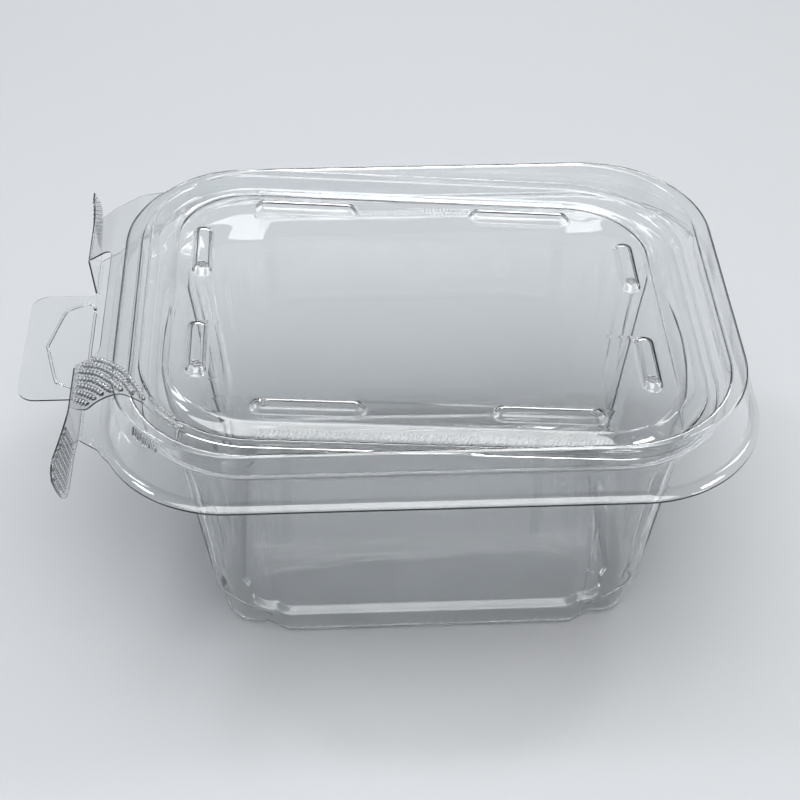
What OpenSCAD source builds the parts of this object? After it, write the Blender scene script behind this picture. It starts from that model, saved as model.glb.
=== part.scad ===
// Clear formed food container: tub with raised rim, recessed lid, tear strip and hang tab.
// Millimetres. X runs from the hinge side to the far side, Y to the back, Z up.

/* [Film] */

// Thickness of the formed film in the tub, rim and lid
film = 0.5; // [0.35:0.05:0.7]
// Thickness of the flat webs, strip and tab, drawn thinner
web_film = 0.4; // [0.3:0.05:0.6]

/* [Lip and rim of the base] */

// Half length of the lip, along X
lip_x = 78.1; // [70:0.5:90]
// Half width of the lip, along Y
lip_y = 59.2; // [57:0.2:66]
// Corner radius of the lip
lip_r = 28.8; // [22:0.2:32]
// Height of the lip above the floor
lip_z = 64.1; // [50:0.5:80]
// Width of the flat lip outside the skirt
lip_w = 2; // [1:0.1:3]
// How far the skirt leans in from foot to top
skirt_lean = 1.4; // [0.5:0.1:3]
// Height of the rim above the lip
rim_h = 13.5; // [10:0.5:18]
// Width of the bend from the lip into the skirt
lip_bend = 0.35; // [0.25:0.05:0.6]
// Radius of the rounded rim edge
rim_edge_r = 0.8; // [0.5:0.1:0.9]
// Width of the rim top along X
rim_band_x = 4.2; // [3:0.1:6]
// Width of the rim top along Y
rim_band_y = 2; // [1.9:0.1:3]
// How far the wall inside the rim leans in on its way down to the seat
rim_lean = 0.25; // [0.1:0.05:0.4]
// Gap between the lid flange and the rim wall
lid_gap = 0.65; // [0.4:0.05:1]
// Width of the seat the lid flange lies over
seat_w = 2.2; // [1.6:0.1:2.4]
// Gap between the seat and the lid flange at the far side
seat_gap = 0.3; // [0.3:0.05:0.8]
// Fall of the seat towards the tub
seat_fall = 0.3; // [0.1:0.1:0.6]
// Width of the step under the seat
step_w = 1.1; // [0.6:0.1:1.4]
// Width of the textured ledge under the lid moat
ledge_w = 1.6; // [1.2:0.1:2]
// Fall of the ledge towards the tub
ledge_fall = 0.6; // [0.3:0.1:1]
// Gap between the ledge and the lid moat at the far side
ledge_gap = 0.6; // [0.4:0.1:1.2]

/* [Tub] */

// Distance from the rim wall in to the side panels
shelf_x = 7.75; // [7.6:0.05:10]
// Distance from the rim wall in to the front and back panels
shelf_y = 6.95; // [6:0.05:9]
// Draft of the side panels from shoulder to foot
draft_x = 7.4; // [4:0.1:10]
// Draft of the front and back panels from shoulder to foot
draft_y = 6.5; // [4:0.1:9]
// Depth of the shoulder below the lip
shoulder_drop = 2.8; // [2:0.1:6]
// Corner radius at the shoulder
tub_top_r = 13; // [11:0.5:15]
// Corner radius at the foot
tub_foot_r = 9.5; // [8:0.5:11]
// How far the panels stand proud of the corner pillars
panel_d = 2; // [1:0.1:2.6]
// Outward bow of the side panels at the shoulder
side_bow = 2.6; // [0:0.1:3.2]
// Half width of the front and back panel faces at the foot
panel_foot_w = 35.5; // [30:0.5:37]
// Half width of the front and back panel faces at the shoulder
panel_top_w = 33.5; // [30:0.5:37]
// Width of the sloped flank beside each panel at the shoulder
flank_top = 8; // [5:0.5:9]
// Width of the sloped flank beside each panel at the foot
flank_foot = 3.1; // [2:0.1:5]
// Half width of the side panel faces at the foot
side_foot_w = 21; // [17:0.5:23]
// Half width of the side panel faces at the shoulder
side_top_w = 19.5; // [16:0.5:22]
// Clearance between a flank and the corner arc beside it
flank_clear = 0.6; // [0.4:0.1:1]
// Height of the arched foot on the corner pillars, at the middle of the arch
pillar_step_z = 10; // [7:0.5:14]
// Height of the arched foot at its two ends
pillar_arch_z = 3.5; // [2.5:0.5:5]
// Depth of the arched foot on the corner pillars
pillar_step_d = 1.3; // [0.6:0.1:2]
// Depth of the pointed flutes in the corner pillars
flute_d = 0.8; // [0:0.1:1.2]
// Height of the lower points of the flutes
flute_z = 17; // [14:0.5:24]
// Height over which the flutes fade out below the shoulder
flute_fade = 4; // [3:0.5:6]
// Width of the ring the tub stands on
foot_w = 4.4; // [2:0.2:6]
// Radius rolled into the foot edge
foot_r = 1.8; // [1:0.1:2.5]
// Height of the raised floor above the foot
floor_rise = 1.2; // [0.8:0.1:3]

/* [Lower web and hang tab] */

// Distance from the lip out to the lower fold
fold_out = 4.7; // [4.2:0.1:8]
// From the front of the lip in to the end of the lower fold
fold_short = 25.4; // [23:0.2:30]
// How far the hang tab reaches past the lower fold
tab_reach = 16; // [12:0.5:20]
// Half width of the hang tab
tab_half = 19.6; // [17:0.1:22]
// Corner radius of the hang tab
tab_r = 4.5; // [2:0.5:7]
// Half width of the hang hole outline
hole_half = 16.3; // [12:0.1:16.5]
// Height of the hang hole outline, towards the tab end
hole_h = 11.3; // [8:0.1:11.8]
// Width of the raised line around the hang hole
hole_line = 0.7; // [0.5:0.1:1.2]
// Height of the raised line above the tab
hole_line_h = 0.25; // [0.15:0.05:0.5]
// How far the hang hole outline reaches back over the fold
hole_back = 0.6; // [0.4:0.1:1]

/* [Tear strip] */

// Height of the strip between its two folds
strip_h = 11; // [9:0.2:13]
// How far the upper fold stands out past the lower fold
strip_lean = 0.8; // [0.4:0.1:1.6]
// Gap between the tab and the cut edges beside it
tab_gap = 0.6; // [0.4:0.1:1.2]
// Space from each fold line to the edges of the pieces it joins
fold_gap = 0.35; // [0.3:0.05:0.5]
// How far the pull grips reach out from the strip, along Y
grip_l = 20; // [15:0.5:24]
// How far the grip tips splay outwards
grip_splay = 2.6; // [0:0.1:4]
// Radius of the raised bars on each grip
bar_r = 0.5; // [0.3:0.05:0.8]
// Number of raised bars on each grip
grip_bars = 5; // [3:1:7]

/* [Lid] */

// Tilt of the lid, hinge side up
lid_tilt = 4.53; // [3.5:0.01:4.8]
// Depth of the lid panel below the rim top, at its centre
lid_drop = 3.3; // [2.8:0.1:4.2]
// How far the lid sits towards the hinge side
lid_shift = 0.98; // [0.5:0.02:1.2]
// Height of the step around the lid panel
panel_step = 0.5; // [0.3:0.1:0.8]
// Size of the formed bends between the lid's flats
bend = 0.5; // [0.3:0.05:0.6]
// Depth of the moat below the lid panel
moat_d = 2; // [1:0.1:2.2]
// Width of the moat around the panel
moat_w = 5; // [4.4:0.1:5.6]
// Width of the sloped wall outside the moat
lid_wall_w = 2.2; // [1.6:0.1:2.6]
// Height of the lid flange above the panel
flange_h = 1.3; // [0.8:0.1:1.8]
// Width of the flange at the lid's outer edge
flange_w = 2.4; // [2:0.1:3]
// Height of the raised ribs above the panel
rib_h = 1.4; // [0.9:0.1:2]
// Width of the raised ribs
rib_w = 4.7; // [4:0.1:6]
// Width of the step that rounds the top edge of the ribs
rib_round = 0.45; // [0.3:0.05:0.7]
// Length of the straight part of each end rib
end_rib_l = 13.4; // [10:0.2:16]
// Length of the straight part of each front and back rib
side_rib_l = 21.2; // [16:0.2:26]
// Distance of the end ribs in from the panel edge
end_rib_in = 6.1; // [4:0.1:9]
// Distance of the end ribs from the lid centre, along Y
end_rib_y = 18.5; // [14:0.1:22]
// Distance of the front and back ribs from the lid centre, along X
side_rib_x = 27.9; // [20:0.1:32]
// Distance of the front and back ribs in from the panel edge
side_rib_in = 5.2; // [4:0.1:8]

/* [Upper web] */

// How far the upper fold runs past each end of the lower fold
upper_over = 0.6; // [0:0.1:2]
// Flat root of the web outside the lid flange
web_root = 0.6; // [0.3:0.1:1]
// Width of the sloped band beside the upper fold
band_w = 6.3; // [4:0.1:8]
// Rise of the sloped band from the upper fold
band_rise = 3.7; // [2:0.1:5]
// Corner radius of the window above the hang tab
window_r = 2.5; // [1:0.1:4]
// Height of the ribs on the wing
wing_rib_h = 0.35; // [0.2:0.05:0.6]
// Width of the ribs on the wing
wing_rib_w = 1; // [0.6:0.1:1.4]
// Number of ribs on the wing
wing_ribs = 7; // [4:1:9]

/* [Hidden] */

$fn = 48;
rim_z = lip_z + rim_h;
fold_x = lip_x + fold_out;
fold_half = lip_y - fold_short;
upper_half = fold_half + upper_over;
frame_x = (fold_x + tab_reach - lip_x) / 2;
corner_n = 8;
lid_n = 9;

// The rim wall stands inside the skirt, the lid inside the rim wall.
skirt_d = lip_w + lip_bend + skirt_lean;
skirt_r = lip_r - 0.4;
rim_in_x = lip_x - skirt_d - rim_band_x;
rim_in_y = lip_y - skirt_d - rim_band_y;
rim_in_r = lip_r - 0.3;
lid_edge_x = rim_in_x - lid_gap;
lid_edge_y = rim_in_y - lid_gap;
flange_in = moat_w + lid_wall_w;
flange_out = flange_in + flange_w;
panel_x = lid_edge_x - flange_out;
panel_y = lid_edge_y - flange_out;
panel_r = rim_in_r - flange_out;
end_rib_x = panel_x - end_rib_in;
side_rib_y = panel_y - side_rib_in;
lid_x0 = -lid_shift;
lid_z = rim_z - lid_drop;

// The seat and the ledge lie just under the low far side of the tilted lid.
function lid_low(x, h) = lid_z - x * sin(lid_tilt) + h * cos(lid_tilt);
seat_z = lid_low(lid_edge_x, flange_h - film) - seat_gap;
ledge_z = lid_low(panel_x + moat_w, -moat_d - film) - ledge_gap;
shoulder_z = lip_z - shoulder_drop;
tub_top_x = rim_in_x - shelf_x;
tub_top_y = rim_in_y - shelf_y;
tub_foot_x = tub_top_x - draft_x;
tub_foot_y = tub_top_y - draft_y;

// Heights of the webs and folds.
web_z = lip_z - film / 2;
fold2_x = fold_x + strip_lean;
fold2_z = web_z + strip_h;
bend_x = fold2_x - band_w;
bend_z = fold2_z + band_rise;
strip_angle = atan2(strip_lean, strip_h);
window_half = tab_half + tab_gap;

// One ring of the tub: half sizes, radius, panel depth and bow, face and flank widths, corner inset.
function side_pts(hx, fy, ry, pd, bow) = [
    [hx + pd + bow, 0],
    [hx + pd + bow * 0.75, fy / 2],
    [hx + pd, fy],
    [hx, ry]
];

function front_pts(hy, fx, rx, pd) = [
    [rx, hy],
    [fx, hy + pd],
    [fx / 2, hy + pd]
];

// The foot arch of a pillar rises from its ends to the middle of the corner.
function arch_z(a) = pillar_arch_z + (pillar_step_z - pillar_arch_z) * pow(sin(2 * a), 0.7);
function arch_share(a, z) = max(0, min(1, (arch_z(a) - z) / pillar_step_d + 0.5));

function arc_pts(hx, hy, r, n, z, inset, flute) = [
    for (i = [0 : n])
        let (a = 90 * i / n, k = inset * (0.4 + 0.6 * sin(2 * a)) * arch_share(a, z) + flute * (i % 2))
            [hx - r + (r - k) * cos(a), hy - r + (r - k) * sin(a)]
];

function flank_stop(root, h, r, run) = min(root, h - r - flank_clear - run);

function quarter(hx, hy, r, n, z, pd, bow, fx, rx, fy, ry, inset, flute) = concat(
    side_pts(hx, flank_stop(fy, hy, r, pd / 1.4), flank_stop(ry, hy, r, 0), pd, bow),
    arc_pts(hx, hy, r, n, z, inset, flute),
    front_pts(hy, flank_stop(fx, hx, r, pd / 1.4), flank_stop(rx, hx, r, 0), pd)
);

function whole(q, top) = let (n = len(q)) concat(
    q,
    [[0, top]],
    [for (i = [n - 1 : -1 : 1]) [-q[i][0], q[i][1]]],
    [[-q[0][0], 0]],
    [for (i = [1 : n - 1]) [-q[i][0], -q[i][1]]],
    [[0, -top]],
    [for (i = [n - 1 : -1 : 1]) [q[i][0], -q[i][1]]]
);

// A station is [half x, half y, radius, z, panel depth, bow, face x, root x, face y, root y, inset, flute].
function ring(s, d, dz, n) = let (
    q = quarter(s[0] + d, s[1] + d, max(1, s[2] + d), n, s[3], s[4], s[5], s[6], s[7], s[8], s[9], s[10], s[11])
) [for (p = whole(q, s[1] + d + s[4])) [p[0], p[1], s[3] + dz]];

// Offset direction at station i, mitred between the two neighbouring segments.
function seg(a, b) = let (v = [(b[0] + b[1] - a[0] - a[1]) / 2, b[3] - a[3]]) v / norm(v);
function turn(v) = [-v[1], v[0]];
function mitre(st, i) = let (
    n = len(st),
    a = i > 0 ? turn(seg(st[i - 1], st[i])) : turn(seg(st[0], st[1])),
    b = i < n - 1 ? turn(seg(st[i], st[i + 1])) : a,
    m = (a + b) / norm(a + b)
) m / max(0.62, m * a);

// Closed skin of the given thickness below and outside the stations.
module skin(st, t, n) {
    upper = [for (i = [0 : len(st) - 1]) each ring(st[i], 0, 0, n)];
    lower = [for (i = [0 : len(st) - 1]) let (m = mitre(st, i)) each ring(st[i], t * m[0], t * m[1], n)];
    k = len(ring(st[0], 0, 0, n));
    r = len(st);
    base = r * k;
    faces = concat(
        [for (i = [0 : r - 2], j = [0 : k - 1]) let (a = i * k + j, b = i * k + (j + 1) % k) each [[a, b + k, b], [a, a + k, b + k]]],
        [for (i = [0 : r - 2], j = [0 : k - 1]) let (a = base + i * k + j, b = base + i * k + (j + 1) % k) each [[a, b, b + k], [a, b + k, a + k]]],
        [for (j = [0 : k - 1]) let (a = j, b = (j + 1) % k) each [[a, b, base + b], [a, base + b, base + a]]],
        [for (j = [0 : k - 1]) [base - k + (j + 1) % k, base - k + j, 2 * base]],
        [for (j = [0 : k - 1]) [2 * base - k + j, 2 * base - k + (j + 1) % k, 2 * base + 1]]
    );
    top = [[0, 0, upper[base - 1][2]], [0, 0, lower[base - 1][2]]];
    polyhedron(concat(upper, lower, top), faces, 10);
}

// Half sizes of the tub at height z, measured on the inside of the film.
function up(z) = z / shoulder_z;
function tub(z, d, inset) = let (u = up(z)) [
    tub_foot_x - panel_d + (tub_top_x - tub_foot_x) * u - film - d,
    tub_foot_y - panel_d + (tub_top_y - tub_foot_y) * u - film - d,
    max(6, tub_foot_r + (tub_top_r - tub_foot_r) * u - film - d),
    z,
    panel_d,
    side_bow * u,
    panel_foot_w + (panel_top_w - panel_foot_w) * u,
    panel_foot_w + flank_foot + (panel_top_w + flank_top - panel_foot_w - flank_foot) * u,
    side_foot_w + (side_top_w - side_foot_w) * u,
    side_foot_w + flank_foot + (side_top_w + flank_top - side_foot_w - flank_foot) * u,
    inset,
    flute_d * flute_share(z)
];
function flute_share(z) = let (u = (z - flute_z) / (flute_top - flute_z)) u > 1.01 ? 0 : max(0, min(1, u));
function shelf(d, z, k) = plain(rim_in_x - d, rim_in_y - d, rim_in_r - d * k, z);
function at_z(s, z) = [s[0], s[1], s[2], z, s[4], s[5], s[6], s[7], s[8], s[9], s[10], 0];
function plain(x, y, r, z) = let (t = tub(shoulder_z, 0, 0)) [x, y, r, z, 0, 0, t[6], t[7], t[8], t[9], 0, 0];

flute_top = shoulder_z - flute_fade;
arch_rows = [for (a = [45, 30, 15, 5]) arch_z(a)];
foot_top = film + foot_r;
foot_in = foot_r + foot_w;

base_stations = concat(
    [
        plain(lip_x, lip_y, lip_r, lip_z),
        plain(lip_x - lip_w, lip_y - lip_w, lip_r - lip_w * 0.6, lip_z),
        plain(lip_x - lip_w - lip_bend, lip_y - lip_w - lip_bend, lip_r - lip_w * 0.7, lip_z + lip_bend * 1.3),
        plain(lip_x - skirt_d, lip_y - skirt_d, skirt_r, rim_z - rim_edge_r)
    ],
    [for (a = [30, 60, 90]) let (e = rim_edge_r * (1 - cos(a)))
        plain(lip_x - skirt_d - e, lip_y - skirt_d - e, skirt_r - e, rim_z - rim_edge_r * (1 - sin(a)))],
    [for (a = [90, 60, 30, 0]) let (e = rim_edge_r * (1 - cos(a)))
        plain(rim_in_x + e, rim_in_y + e, rim_in_r + e, rim_z - rim_edge_r * (1 - sin(a)))],
    [
        shelf(rim_lean, seat_z, 1),
        shelf(seat_w, seat_z - seat_fall, 1),
        shelf(seat_w + step_w, ledge_z, 1.2),
        shelf(seat_w + step_w + ledge_w, ledge_z - ledge_fall, 1.3)
    ],
    [for (z = [shoulder_z, flute_top, flute_z]) tub(z, 0, 0)],
    [tub(arch_rows[0] + pillar_step_d / 2, 0, pillar_step_d)],
    [for (z = arch_rows) tub(z - pillar_step_d / 2, 0, pillar_step_d)],
    [
        at_z(tub(foot_top, 0, pillar_step_d), foot_top),
        at_z(tub(foot_top, foot_r * 0.13, pillar_step_d), foot_top - foot_r * 0.5),
        at_z(tub(foot_top, foot_r * 0.5, pillar_step_d), foot_top - foot_r * 0.87),
        at_z(tub(foot_top, foot_r, pillar_step_d), film),
        at_z(tub(foot_top, foot_in, 0), film),
        at_z(tub(foot_top, foot_in + 0.8, 0), film + floor_rise * 0.8),
        at_z(tub(foot_top, foot_in + 1.5, 0), film + floor_rise)
    ]
);

module rounded(x, y, r) {
    square([2 * (x - r), 2 * y], center = true);
    square([2 * x, 2 * (y - r)], center = true);
    for (i = [-1, 1], j = [-1, 1])
        translate([i * (x - r), j * (y - r)])
            circle(r);
}

// Outline of the lower web from the fold to the lip, as shares of the distance between them.
web_side = [[0, 0], [0.3, 0.2], [0.64, 0.45], [1.02, 0.74], [1.47, 1.47], [2.3, 2.9], [3.8, 4.2]];
function web_outline(s) = [for (p = web_side)
    [-fold_x + max(p[0] * fold_out, fold_gap), s * (fold_half + p[1] * fold_out)]];
function web_back() = let (p = web_outline(1)) [for (i = [len(p) - 1 : -1 : 0]) p[i]];

module lower_web() {
    translate([0, 0, web_z - web_film / 2])
        linear_extrude(web_film) {
            difference() {
                polygon(concat(web_outline(-1), web_back()));
                rounded(lip_x - lip_w * 0.6, lip_y - lip_w * 0.6, lip_r - lip_w * 0.6);
            }
            tab_outline();
        }
}

module tab_outline() {
    translate([-fold_x - tab_reach, 0]) {
        translate([tab_r, -tab_half])
            square([tab_reach + 2 - tab_r, 2 * tab_half]);
        translate([0, tab_r - tab_half])
            square([tab_reach + 2, 2 * (tab_half - tab_r)]);
        for (j = [-1, 1])
            translate([tab_r, j * (tab_half - tab_r)])
                circle(tab_r);
    }
}

// Half outline of the hang hole, as shares of its half width and height.
hole_side = [
    [0, 0.84],
    [0.05, 0.95],
    [0.16, 1],
    [0.3, 0.985],
    [0.6, 0.87],
    [0.72, 0.76],
    [0.98, 0.05]
];
function hole_pts(d) = let (
    a = [for (p = hole_side) [-fold_x + hole_back - d - p[0] * (hole_h - 2 * d), p[1] * (hole_half - d)]],
    tip = [[-fold_x + hole_back - hole_h + d, 0]],
    b = [for (i = [len(a) - 1 : -1 : 0]) [a[i][0], -a[i][1]]]
) concat(a, tip, b);

module hole_line_ring() {
    translate([0, 0, web_z])
        linear_extrude(web_film / 2 + hole_line_h)
            difference() {
                polygon(hole_pts(0));
                polygon(hole_pts(hole_line));
            }
}

module base() {
    color([0.85, 0.9, 0.92, 0.35])
        translate([frame_x, 0, 0])
            union() {
                skin(base_stations, film, corner_n);
                lower_web();
                hole_line_ring();
            }
}

// Grip outlines, as shares of the grip length past the fold end and of the strip height.
strip_len = norm([strip_lean, strip_h]);
grip_front = [
    [0.16, 0], [0.3, -0.04], [0.45, -0.15], [0.6, -0.27], [0.69, -0.32], [0.78, -0.31], [0.87, -0.18],
    [0.93, 0.05], [0.97, 0.27], [1, 0.55], [0.99, 0.74], [0.95, 0.87], [0.88, 0.96], [0.8, 0.99], [0.4, 1]
];
grip_back = [
    [0.3, 0.03], [0.55, 0.01], [0.75, 0.02], [0.88, 0.06], [0.97, 0.16], [1, 0.3], [0.99, 0.42], [0.95, 0.55],
    [0.87, 0.74], [0.78, 0.96], [0.71, 1.12], [0.66, 1.17], [0.6, 1.18], [0.54, 1.13], [0.44, 1.05], [0.3, 1]
];

// A strip piece drawn flat, with X along the fold and Y up the strip.
module strip_flat() {
    translate([window_half, fold_gap])
        square([fold_half - window_half, strip_len - 2 * fold_gap]);
}

module grip_flat(pts) {
    low = fold_gap + 0.05;
    high = strip_len - fold_gap - 0.05;
    polygon(concat(
        [[-web_film, low], [0, low]],
        [for (p = pts) [p[0] * grip_l, low + p[1] * (high - low)]],
        [[0, high], [-web_film, high]]
    ));
}

module strip_piece(side, pts, splay, low, high) {
    turn_a = asin(min(0.4, splay / grip_l));
    translate([frame_x - fold_x, 0, web_z])
        rotate([0, -strip_angle, 0])
            scale([1, side, 1])
                rotate([90, 0, 90])
                    translate([0, 0, -web_film / 2]) {
                        linear_extrude(web_film)
                            strip_flat();
                        translate([fold_half - 0.2, 0, web_film / 2])
                            rotate([0, turn_a, 0])
                                translate([0, 0, -web_film / 2])
                                    grip(pts, low, high);
                    }
}

module grip(pts, low, high) {
    linear_extrude(web_film)
        grip_flat(pts);
    for (i = [0 : grip_bars - 1])
        translate([grip_l * (0.42 + 0.4 * i / (grip_bars - 1)), strip_h * low, web_film / 2])
            rotate([-90, 0, -14])
                cylinder(r = bar_r, h = strip_h * (high - low));
}

module tear_strip_front() {
    color([0.85, 0.9, 0.92, 0.35])
        strip_piece(-1, grip_front, grip_splay, 0.02, 0.8);
}

module tear_strip_back() {
    color([0.85, 0.9, 0.92, 0.35])
        strip_piece(1, grip_back, grip_splay * 0.4, 0.14, 0.84);
}

// Stations of the lid, in its own frame with the panel at height zero.
function lid_ring(o, h) = [panel_x + o, panel_y + o, panel_r + o, h, 0, 0, panel_x / 5, panel_x / 3, panel_y / 5, panel_y / 3, 0, 0];
lid_stations = [
    lid_ring(flange_out, flange_h),
    lid_ring(flange_in, flange_h),
    lid_ring(flange_in - bend * 0.9, flange_h - bend * 0.6),
    lid_ring(flange_in - bend * 1.6, flange_h - bend * 1.8),
    lid_ring(moat_w + bend, -moat_d + bend * 1.4),
    lid_ring(moat_w + bend * 0.2, -moat_d + bend * 0.3),
    lid_ring(moat_w - bend, -moat_d),
    lid_ring(bend * 3, -moat_d),
    lid_ring(bend * 2, -moat_d + bend * 0.4),
    lid_ring(bend * 1.2, -panel_step - bend * 0.4),
    lid_ring(bend * 0.2, -bend * 0.2),
    lid_ring(-bend, 0)
];

function to_lid(x, z) = [
    (x - lid_x0) * cos(lid_tilt) - (z - lid_z) * sin(lid_tilt),
    (x - lid_x0) * sin(lid_tilt) + (z - lid_z) * cos(lid_tilt)
];
function toward(a, b, d) = a + (b - a) * d / norm(b - a);

web_mid_h = flange_h - film / 2;
web_c = to_lid(-bend_x, bend_z);
web_d = toward(to_lid(-fold2_x, fold2_z), web_c, fold_gap);
web_line = [[-panel_x, web_mid_h], [-lid_edge_x - web_root, web_mid_h], web_c, web_d];
web_len = fold2_x + lid_x0 - lid_edge_x;
reach = 2 * (lip_x + lip_y);

// Offset of the web line by d, as a list of points.
function line_dir(i) = let (v = web_line[i + 1] - web_line[i]) v / norm(v);
function line_off(d) = [for (i = [0 : 3]) let (
    a = turn(line_dir(max(0, i - 1))),
    b = turn(line_dir(min(2, i))),
    m = (a + b) / norm(a + b)
) web_line[i] + m * d / (m * a)];
function flip(p) = [for (i = [len(p) - 1 : -1 : 0]) p[i]];

module web_band(low, high) {
    rotate([90, 0, 0])
        translate([0, 0, -reach / 2])
            linear_extrude(reach)
                polygon(concat(line_off(-high), flip(line_off(-low))));
}

// Edges of the upper web past the ends of the upper fold, as shares of the web's length.
front_edge = [[0, 0], [0.1, 0.13], [0.21, 0.22], [0.3, 0.28], [0.36, 0.28], [0.5, 0.2], [0.66, 0.15], [0.8, 0.15],
    [0.93, 0.18], [1.08, 0.25], [1.2, 0.34], [1.4, 0.5], [1.65, 0.69]];
back_edge = [[1.9, 0.58], [1.4, 0.48], [0.76, 0.32], [0.4, 0.2], [0.15, 0.1], [0, 0]];

module web_plan() {
    difference() {
        polygon(concat(
            [for (p = front_edge) [-fold2_x - 1 + p[0] * (web_len + 1) - lid_x0, -upper_half - p[1] * web_len]],
            [for (p = back_edge) [-fold2_x - 1 + p[0] * (web_len + 1) - lid_x0, upper_half + p[1] * web_len]]
        ));
        rounded(lid_edge_x - 1.4, lid_edge_y - 1.4, panel_r + flange_out - 1.4);
        window_plan();
    }
}

module window_plan() {
    translate([-fold2_x - 2 - lid_x0, -window_half]) {
        square([band_w + 2 - window_r, 2 * window_half]);
        translate([0, window_r])
            square([band_w + 2, 2 * (window_half - window_r)]);
        for (y = [window_r, 2 * window_half - window_r])
            translate([band_w + 2 - window_r, y])
                circle(window_r);
    }
}

wing_edge = [[0.03, 0.1], [0.53, 0.36], [1.03, 1.0], [1.18, 1.66], [0, 1.66]];

module wing_plan() {
    intersection() {
        web_plan();
        translate([-fold2_x - lid_x0, -window_half])
            polygon([for (p = wing_edge) [p[0] * web_len, -p[1] * web_len]]);
        for (i = [0 : wing_ribs - 1])
            translate([-fold2_x - lid_x0, -window_half - web_len * (0.2 + 0.17 * i)])
                rotate(-46)
                    square([2 * web_len, wing_rib_w]);
    }
}

module stadium(l, w) {
    square([l, w], center = true);
    for (i = [-1, 1])
        translate([i * l / 2, 0])
            circle(w / 2);
}

module rib_solid(l, w, h, low) {
    translate([0, 0, low])
        linear_extrude(h * 0.55 - low)
            stadium(l, w);
    translate([0, 0, low])
        linear_extrude(h - low)
            stadium(l, w - 2 * rib_round);
}

module ribs(extra, high, low) {
    for (i = [-1, 1], j = [-1, 1]) {
        translate([i * end_rib_x, j * end_rib_y, 0])
            rotate(90)
                rib_solid(end_rib_l, rib_w + extra, high, low);
        translate([i * side_rib_x, j * side_rib_y, 0])
            rib_solid(side_rib_l, rib_w + extra, high, low);
    }
}

module lid() {
    color([0.85, 0.9, 0.92, 0.35])
        translate([frame_x + lid_x0, 0, lid_z])
            rotate([0, lid_tilt, 0]) {
                difference() {
                    union() {
                        skin(lid_stations, film, lid_n);
                        ribs(0, rib_h, -film / 2);
                    }
                    ribs(-2 * film, rib_h - film, -film - 1);
                }
                intersection() {
                    web_band(-web_film / 2, web_film / 2);
                    linear_extrude(reach, center = true)
                        web_plan();
                }
                intersection() {
                    web_band(0, web_film / 2 + wing_rib_h);
                    linear_extrude(reach, center = true)
                        wing_plan();
                }
            }
}

base();
tear_strip_front();
tear_strip_back();
lid();
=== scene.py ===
"""Looks of the clear formed food container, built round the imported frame. Metres."""

import math

import bmesh
import bpy
import numpy as np
from mathutils import Matrix, Vector
from mathutils.geometry import tessellate_polygon


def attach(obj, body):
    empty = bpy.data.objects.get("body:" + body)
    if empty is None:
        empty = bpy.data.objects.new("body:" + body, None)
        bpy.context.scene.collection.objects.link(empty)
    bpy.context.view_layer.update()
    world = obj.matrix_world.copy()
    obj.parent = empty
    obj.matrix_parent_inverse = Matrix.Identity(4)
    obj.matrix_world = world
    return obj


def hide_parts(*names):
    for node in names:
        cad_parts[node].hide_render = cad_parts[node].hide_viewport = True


MM = 0.001
FRAME_X = 10.35
FILM = 0.5
WEB = 0.4

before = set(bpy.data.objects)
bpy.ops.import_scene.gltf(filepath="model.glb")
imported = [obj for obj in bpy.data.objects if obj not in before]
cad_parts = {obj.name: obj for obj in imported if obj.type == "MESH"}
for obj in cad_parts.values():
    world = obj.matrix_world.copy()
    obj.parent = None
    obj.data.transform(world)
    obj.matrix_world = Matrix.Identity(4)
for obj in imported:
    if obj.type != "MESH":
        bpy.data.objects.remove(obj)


def write_bounds():
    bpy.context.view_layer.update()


write_bounds()


# Materials of the clear film.


def new_material(name):
    mat = bpy.data.materials.new(name)
    mat.use_nodes = True
    tree = mat.node_tree
    tree.nodes.clear()
    out = tree.nodes.new("ShaderNodeOutputMaterial")
    shader = tree.nodes.new("ShaderNodeBsdfPrincipled")
    tree.links.new(shader.outputs[0], out.inputs[0])
    return mat, tree, shader


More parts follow.
